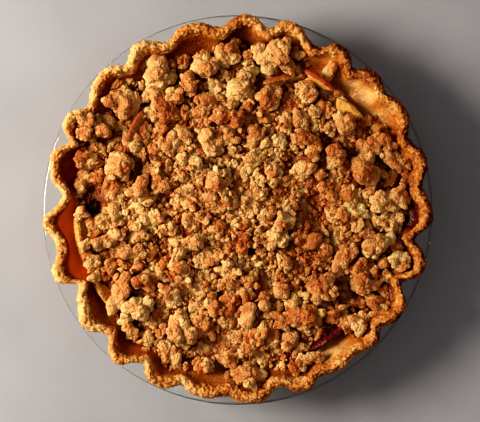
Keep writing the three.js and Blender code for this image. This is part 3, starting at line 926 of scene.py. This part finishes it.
def height_map(objects):
    """Height of pieces in millimetres over each cell of that grid, below 0 where there is none."""
    surface = np.full((2 * REACH + 1, 2 * REACH + 1), -1.0)
    for obj in objects:
        points = piece_points(obj)
        np.maximum.at(surface, cells_of(points), points[:, 2])
    for _ in range(3):
        surface = np.where(surface < 0, np.max(neighbours(surface), axis=0), surface)
    return surface


def contents():
    """The pieces made so far that lie in the dish."""
    solids = set(frame["nodes"].values())
    return [obj for obj in bpy.context.scene.objects
            if obj.type == "MESH" and obj not in solids and obj.name != "glass_dish"]


def peel_cells():
    """Cells where the outer edge of a slice lies bare."""
    shown = np.zeros((2 * REACH + 1, 2 * REACH + 1), bool)
    for node in SLICES:
        facing, *_, bare = PEEL_FACING[node]
        facing = math.radians(facing)
        points = piece_points(bpy.data.objects[slice_piece(node)])
        out = points[:, 0] * math.cos(facing) + points[:, 1] * math.sin(facing)
        shown[cells_of(points[out > out.max() - bare])] = True
    return shown


def unit_ball(subdivisions):
    """Directions and triangles of an icosphere."""
    bpy.ops.object.select_all(action="DESELECT")
    bpy.ops.mesh.primitive_ico_sphere_add(subdivisions=subdivisions, radius=1)
    ball = bpy.context.object
    points = piece_points(ball)
    triangles = np.empty(len(ball.data.polygons) * 3, np.int32)
    ball.data.polygons.foreach_get("vertices", triangles)
    bpy.data.objects.remove(ball)
    return points / np.linalg.norm(points, axis=1)[:, None], triangles.reshape(-1, 3)


def random_ways(rng, count):
    """Random directions."""
    ways = rng.normal(size=(count, 3))
    return ways / np.linalg.norm(ways, axis=1)[:, None]


def random_turn(rng, tip):
    """A rotation with any turn about the vertical and a tilt of up to tip radians."""
    turn, lean, way = rng.uniform(0, 2 * math.pi), rng.uniform(-tip, tip), rng.uniform(0, 2 * math.pi)
    c, s = math.cos(turn), math.sin(turn)
    spin = np.array([[c, -s, 0], [s, c, 0], [0, 0, 1]])
    cross = np.array([[0, 0, math.sin(way)], [0, 0, -math.cos(way)], [-math.sin(way), math.cos(way), 0]])
    return (np.eye(3) + math.sin(lean) * cross + (1 - math.cos(lean)) * cross @ cross) @ spin


# Parts of a lump as shares of its half width
KNOB_FAR = 0.42, 0.72  # how far knobs lie from its middle
KNOB_RADIUS = 0.28, 0.5
HEART_RADIUS = 0.58  # of the ball in its middle
BREAK_AT = 0.66, 0.9  # how far from its middle a broken face lies
KNOB_CREASE = 20  # the more, the sharper the creases between knobs


def craggy(directions, size, rng, knobs, breaks):
    """A lump of crumble in millimetres: knobs pressed together, with a few broken faces."""
    centres = np.vstack([random_ways(rng, knobs) * rng.uniform(*KNOB_FAR, (knobs, 1)), np.zeros(3)])
    radii = np.append(rng.uniform(*KNOB_RADIUS, knobs), HEART_RADIUS)
    along = directions @ centres.T
    room = along ** 2 - (centres ** 2).sum(axis=1) + radii ** 2
    reach = np.where(room > 0, along + np.sqrt(np.maximum(room, 0)), 0)
    reach = np.log(np.exp(KNOB_CREASE * reach).sum(axis=1)) / KNOB_CREASE
    for way, depth in zip(random_ways(rng, breaks), rng.uniform(*BREAK_AT, breaks)):
        reach = np.minimum(reach, depth / np.maximum(directions @ way, 1e-3))
    return directions * (reach / reach.mean() * 0.9)[:, None] * np.asarray(size) / 2


def burnt_share(points):
    """How burnt the crumble is at points, from 0 to 1."""
    wavy = 1.5 * lattice(points, 4, 82)
    return np.max([much * eased(wide, 0.6 * wide, flat_distance(points, x, y) + wavy)
                   for x, y, wide, much in BURNT], axis=0)


# Rules for where lumps lie, in millimetres
MOST_SKIN = 1.9  # room for the grainy skin under the top of the solids
LUMP_CLIMB, CLUMP_CLIMB, FLAKE_CLIMB = 47, 49, 44  # height of the pastry that each may lie on
OVER_BURNT = 2.5  # lumps of more than this half width stay off the burnt places
MOST_HIDDEN = 0.1  # share of a lump's cells that may lie over a slice's bare edge
SMALL = 5  # hollows get no lumps wider than this, and the middle gets half of them
MIDDLE = 45  # radius of that middle
DEEP = 1.5  # depth that counts as a hollow
OVER_EDGE = 4  # how far lumps along the edge may lie past it


class Heap:
    """Collects lumps into one mesh and keeps the surface that the next ones come to lie on."""

    def __init__(self, seed):
        self.rng = np.random.default_rng(seed)
        self.surface = height_map(contents())
        self.pastry = height_map([bpy.data.objects["pastry_case"]])
        self.peel = peel_cells()
        along = np.arange(-REACH, REACH + 1.0)
        x, y = (axis.ravel() for axis in np.meshgrid(along, along, indexing="ij"))
        level = ground(np.column_stack([x, y, np.zeros_like(x)]))
        self.level = level.reshape(self.surface.shape)
        self.hollow = (dome(np.hypot(x, y)) - level).reshape(self.surface.shape)
        self.points, self.ways, self.triangles, self.toast, self.count = [], [], [], [], 0

    def footprint(self, x, y, half):
        """The cells under a lump, by its place and its half width."""
        side = int(math.ceil(half))
        along = np.arange(-side, side + 1)
        gx, gy = np.meshgrid(along, along, indexing="ij")
        near = gx ** 2 + gy ** 2 <= half ** 2
        return round(x) + REACH + gx[near], round(y) + REACH + gy[near]

    def blocked(self, x, y, half, climb):
        """True where a lump would hide a burnt place or the peel of a slice, or climb the rim."""
        cells = self.footprint(x, y, half)
        if half > OVER_BURNT and any(math.hypot(x - far, y - up) < wide for far, up, wide, _ in BURNT):
            return True
        return self.peel[cells].mean() > MOST_HIDDEN or self.pastry[cells].max() > climb

    def rest(self, x, y, half):
        """Height of the surface under a lump."""
        return float(np.percentile(self.surface[self.footprint(x, y, half * 0.8)], 45))

    def add(self, shape, triangles, place, base):
        """Adds a lump whose shape lies about the origin, at its place, and raises the surface."""
        highest = CAD_BOX[1].z / MM - MOST_SKIN
        place = np.array(place) - (0, 0, max(0, shape[:, 2].max() + place[2] - highest))
        points = shape + place
        self.points.append(points)
        self.ways.append(shape / np.linalg.norm(shape, axis=1)[:, None])
        self.triangles.append(triangles + self.count)
        up = eased(-0.1, 0.95, shape[:, 2] / shape[:, 2].max())
        self.toast.append(base + 0.25 * up)
        self.count += len(points)
        np.maximum.at(self.surface, cells_of(points), points[:, 2])

    def finish(self, name, lumpy, coarse, fine):
        """Joins the lumps into one piece with a grainy skin and dresses it."""
        points, ways = np.vstack(self.points), np.vstack(self.ways)
        lumps, big, small = grainy(points, 5.0, 50), grainy(points, 2.8, 51), grainy(points, 1.4, 52)
        skin = lumpy * (lumps - 0.5) + coarse * (big - 0.5) + fine * (small - 0.5)
        points = points + ways * skin[:, None]
        obj = piece_from(name, points, np.vstack(self.triangles))
        toast = np.concatenate(self.toast) + 0.09 * lattice(flat_points(points), 20, 54)
        # Painted shade: browner in the creases between knobs and grains
        toast += 0.12 - 0.1 * lumps - 0.08 * big - 0.06 * small
        for x, y, wide, much in CRUMBLE_BAKE_AND_SHADE:
            toast += much * eased(wide, wide / 3, flat_distance(points, x, y))
        set_attribute(obj, "toast", toast)
        dress(obj, baked_crumble)

    def scatter(self, count, widths, detail, knobs, tries, lift=0.1, start=0.0):
        """Drops lumps of random width, each into the lowest of a few drawn places, from a start, as a
        share of the way out, to the heap's edge or a little over. Hollows get small ones only. Lift is
        how far a lump's middle lies over the surface, as a share of its height."""
        ball, triangles = unit_ball(detail)
        ways, edges = np.array(HEAP_EDGE, float).T
        rng = self.rng
        made = 0
        while made < count:
            best = None
            width = rng.uniform(*widths)
            for _ in range(tries):
                way = rng.uniform(0, 2 * math.pi)
                limit = np.interp(math.degrees(way), ways, edges, period=360)
                limit += OVER_EDGE * start - 0.45 * width
                far = limit * math.sqrt(rng.uniform(start ** 2, 1))
                x, y = far * math.cos(way), far * math.sin(way)
                here = round(x) + REACH, round(y) + REACH
                if width > SMALL and (self.hollow[here] > DEEP or far < MIDDLE and rng.uniform() < 0.5):
                    continue
                if self.blocked(x, y, width / 2, LUMP_CLIMB):
                    continue
                z = self.rest(x, y, width / 2)
                if best is None or z - self.level[here] < best[0]:
                    best = (z - self.level[here], x, y, z)
            if best is None:
                continue
            _, x, y, z = best
            size = (width * rng.uniform(1.0, 1.6), width, width * rng.uniform(0.55, 0.95))
            shape = craggy(ball, size, rng, knobs, breaks=4) @ random_turn(rng, tip=0.6).T
            self.add(shape, triangles, (x, y, z + lift * size[2]), base=rng.normal(0.3, 0.06))
            made += 1


class PIE_OT_clumps(bpy.types.Operator):
    """Sets the big clumps where they lie in the pie"""

    bl_idname = "pie.clumps"
    bl_label = "Big clumps"

    def execute(self, context):
        heap = Heap(71)
        balls = {True: unit_ball(5), False: unit_ball(4)}
        fine_from, step_in = 11, 0.985
        for x, y, width, long, turn, brown in BIG_CLUMPS:
            height = 0.8 * width + 3
            ball, triangles = balls[width > fine_from]
            while heap.blocked(x, y, width * 0.45, CLUMP_CLIMB):
                x, y = step_in * x, step_in * y
            shape = craggy(ball, (long, width, height), heap.rng, knobs=10, breaks=3)
            c, s = math.cos(math.radians(turn)), math.sin(math.radians(turn))
            shape = shape @ np.array([[c, s, 0], [-s, c, 0], [0, 0, 1]])
            z = heap.rest(x, y, width / 2) + 0.27 * height
            heap.add(shape, triangles, (x, y, z), base=0.5 * brown + 0.15)
        heap.finish("crumble_clumps", lumpy=1.7, coarse=0.8, fine=0.6)
        return {"FINISHED"}


class PIE_OT_nuggets(bpy.types.Operator):
    """Drops middle-sized clumps between the big ones"""

    bl_idname = "pie.nuggets"
    bl_label = "Nuggets"

    def execute(self, context):
        heap = Heap(72)
        nuggets = context.scene.pie_sizes.nuggets
        heap.scatter(nuggets, widths=(8, 12.5), detail=4, knobs=9, tries=6, lift=0.12)
        heap.finish("crumble_nuggets", lumpy=1.4, coarse=0.7, fine=0.5)
        return {"FINISHED"}


class PIE_OT_pebbles(bpy.types.Operator):
    """Drops small clumps into the gaps"""

    bl_idname = "pie.pebbles"
    bl_label = "Pebbles"

    def execute(self, context):
        heap = Heap(73)
        kind = {"widths": (6, 8.5), "detail": 4, "knobs": 8}
        heap.scatter(context.scene.pie_sizes.pebbles, tries=4, **kind)
        heap.scatter(context.scene.pie_sizes.edge_pebbles, tries=1, start=0.96, **kind)
        heap.finish("crumble_pebbles", lumpy=0.9, coarse=0.6, fine=0.5)
        return {"FINISHED"}


class PIE_OT_crumbs(bpy.types.Operator):
    """Drops crumbs over the heap"""

    bl_idname = "pie.crumbs"
    bl_label = "Crumbs"

    def execute(self, context):
        heap = Heap(74)
        kind = {"widths": (3, 6), "detail": 3, "knobs": 7}
        heap.scatter(context.scene.pie_sizes.crumbs, tries=2, **kind)
        heap.scatter(context.scene.pie_sizes.edge_crumbs, tries=1, start=0.96, **kind)
        heap.finish("crumble_crumbs", lumpy=0.3, coarse=0.4, fine=0.4)
        return {"FINISHED"}


class PIE_OT_grains(bpy.types.Operator):
    """Drops loose grains over the heap"""

    bl_idname = "pie.grains"
    bl_label = "Grains"

    def execute(self, context):
        heap = Heap(75)
        heap.scatter(context.scene.pie_sizes.grains, widths=(1.6, 3.2), detail=2, knobs=5, tries=5)
        heap.finish("crumble_grains", lumpy=0, coarse=0.2, fine=0.25)
        return {"FINISHED"}


class PIE_OT_flakes(bpy.types.Operator):
    """Strews oat flakes, most of them over the middle"""

    bl_idname = "pie.flakes"
    bl_label = "Oat flakes"

    def execute(self, context):
        heap = Heap(76)
        ball, triangles = unit_ball(2)
        spread, furthest, thick, curl = 45, 96, 1.1, 0.06
        for _ in range(context.scene.pie_sizes.flakes):
            x, y = heap.rng.normal(0, spread, 2)
            long = heap.rng.uniform(4, 6)
            if math.hypot(x, y) > furthest or heap.blocked(x, y, long / 2, FLAKE_CLIMB):
                continue
            shape = craggy(ball, (long, long * 0.7, thick), heap.rng, knobs=5, breaks=3)
            shape[:, 2] += curl * shape[:, 0] ** 2
            shape = shape @ random_turn(heap.rng, tip=0.9).T
            place = x, y, heap.rest(x, y, 2) + 1.0
            heap.add(shape, triangles, place, base=heap.rng.uniform(0.2, 0.45))
        heap.finish("oat_flakes", lumpy=0, coarse=0.2, fine=0.3)
        return {"FINISHED"}


class PIE_OT_soak(bpy.types.Operator):
    """Colours crumble that lies deep in the heap dark red-brown: juice soaked in from below, and painted
    shade in the low places
    """

    bl_idname = "pie.soak"
    bl_label = "Soaked crumble"

    def execute(self, context):
        heap = [obj for obj in contents()
                if "toast" in obj.data.attributes and obj.name != "pastry_case"]
        lowest, rounds, most = 38, 6, 0.75
        level = np.maximum(height_map(heap), lowest)
        for _ in range(rounds):
            level = sum(neighbours(level)) / 8 + level / 2
        for obj in heap:
            points = piece_points(obj)
            depth = level[cells_of(points)] - points[:, 2]
            # Painted shade and soaked juice: the deeper a place lies under the smoothed heap, the darker
            # and redder it is
            soak = most * eased(0.4, 4, depth + 0.6 * lattice(points, 5, 81))
            set_attribute(obj, "soak", np.maximum(soak, burnt_share(points)))
        return {"FINISHED"}


CAMERA_TOE = 0.2  # the more, the darker the camera shows shadows
CURVE_AT = 0.02, 0.05, 0.1, 0.2, 0.4, 0.7  # light from 0 to 1 where the camera's curve is set


class PIE_OT_stage(bpy.types.Operator):
    """Lays the floor, hangs the light and sets the camera above the pie"""

    bl_idname = "pie.stage"
    bl_label = "Stage"

    def execute(self, context):
        bpy.ops.object.select_all(action="DESELECT")
        bpy.ops.mesh.primitive_plane_add(size=6, location=(0, 0, -0.5 * MM))
        floor = context.object
        floor.name = "floor"
        floor.data.materials.append(material_by(pale_plaster))
        bpy.ops.object.light_add(type="AREA", location=(-0.81, 0.108, 0.66))
        key = context.object
        key.name = "key"
        key.data.shape = "DISK"
        key.data.size = 0.44
        key.data.energy = 15.5
        key.data.color = linear("#FFFAF4")
        key.rotation_euler = (-key.location).to_track_quat("-Z", "Y").to_euler()
        world = bpy.data.worlds.new("soft_room")
        world.use_nodes = True
        background = world.node_tree.nodes["Background"]
        background.inputs["Color"].default_value = (*linear("#F4EEF0"), 1)
        background.inputs["Strength"].default_value = 0.36
        context.scene.world = world
        distance, seen_width = 1.0, 0.3
        bpy.ops.object.camera_add(location=(1.6 * MM, -0.6 * MM, distance), rotation=(0, 0, 0))
        camera = context.object
        camera.data.sensor_width = 36
        camera.data.lens = camera.data.sensor_width * (distance - dish_top() * MM) / seen_width
        context.scene.camera = camera
        view = context.scene.view_settings
        view.view_transform = "Standard"
        view.use_curve_mapping = True
        for light in CURVE_AT:
            shown = light ** 2 * (1 + CAMERA_TOE) / (light + CAMERA_TOE)
            view.curve_mapping.curves[3].points.new(light, shown)
        view.curve_mapping.update()
        return {"FINISHED"}


OPERATORS = (
    PIE_OT_dish, PIE_OT_crust, PIE_OT_filling, PIE_OT_slices, PIE_OT_core, PIE_OT_crumbs, PIE_OT_clumps,
    PIE_OT_nuggets, PIE_OT_pebbles, PIE_OT_grains, PIE_OT_flakes, PIE_OT_soak, PIE_OT_stage,
)


class PIE_PT_panel(bpy.types.Panel):
    """Lists the steps that make the pie"""

    bl_label = "Apple crumble pie"
    bl_space_type = "VIEW_3D"
    bl_region_type = "UI"
    bl_category = "Pie"

    def draw(self, context):
        for operator in OPERATORS:
            self.layout.operator(operator.bl_idname)


CLASSES = (PieSizes, PieColours, *OPERATORS, PIE_PT_panel)


def register():
    for cls in CLASSES:
        bpy.utils.register_class(cls)
    bpy.types.Scene.pie_sizes = PointerProperty(type=PieSizes)
    bpy.types.Scene.pie_colours = PointerProperty(type=PieColours)


def unregister():
    del bpy.types.Scene.pie_colours
    del bpy.types.Scene.pie_sizes
    for cls in reversed(CLASSES):
        bpy.utils.unregister_class(cls)


def main():
    register()
    for operator in OPERATORS:
        group, name = operator.bl_idname.split(".")
        getattr(getattr(bpy.ops, group), name)()


if __name__ == "__main__":
    main()
